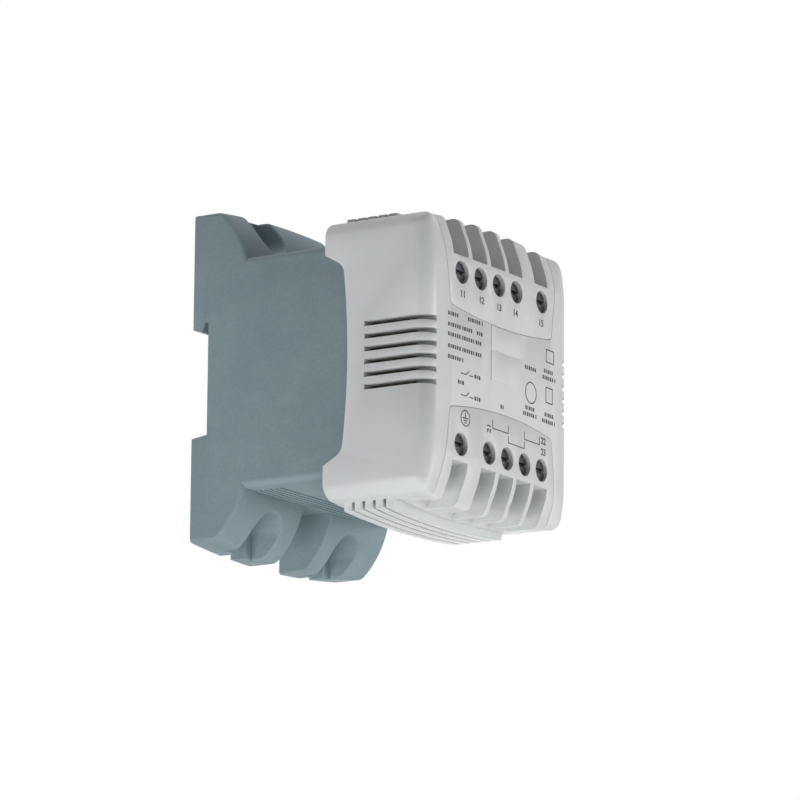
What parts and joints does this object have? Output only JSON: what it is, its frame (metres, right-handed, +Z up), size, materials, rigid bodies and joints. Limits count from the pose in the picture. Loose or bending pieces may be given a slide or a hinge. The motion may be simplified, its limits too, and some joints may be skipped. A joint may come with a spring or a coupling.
{
  "type": "control transformer",
  "caption": "Control transformer with a vented light cover, recessed screw terminals above and below, and a blue-grey rear housing that hooks on a mounting rail or screws to a panel.",
  "frame": {"origin": "centre of the rail slot, on the rear plane that lies against the wall", "axes": "+X to the right seen from the front, +Y towards the wall, +Z up; the front faces -Y"},
  "size_m": [0.0884, 0.0928, 0.1147],
  "materials": {
    "housing_resin": "matt, slightly mottled thermoset moulding",
    "cover_plastic": "fine satin moulding",
    "plated_steel": "zinc-plated",
    "tab_brass": "stamped strip",
    "core_steel": "stacked electrical sheet",
    "bobbin_nylon": "natural nylon moulding",
    "winding_copper": "enamelled wire",
    "wrap_film": "polyester tape",
    "lead_sleeve": "insulated wire"
  },
  "bodies": {
    "root": {"rear_housing": "housing_resin", "front_cover": "cover_plastic", "upper_terminal_block": "cover_plastic", "lower_terminal_block": "cover_plastic", "upper_terminal_screws": "plated_steel", "lower_terminal_screws": "plated_steel", "upper_wire_clamps": "plated_steel", "lower_wire_clamps": "plated_steel", "upper_terminal_tabs": "tab_brass", "lower_terminal_tabs": "tab_brass", "core_e_stack": "core_steel", "core_i_stack": "core_steel", "core_bolts": "plated_steel", "core_washers": "plated_steel", "earth_strap": "tab_brass", "coil_bobbin": "bobbin_nylon", "primary_winding": "winding_copper", "secondary_winding": "winding_copper", "primary_wrap": "wrap_film", "secondary_wrap": "wrap_film", "primary_leads": "lead_sleeve", "secondary_leads": "lead_sleeve"}
  },
  "joints": []
}
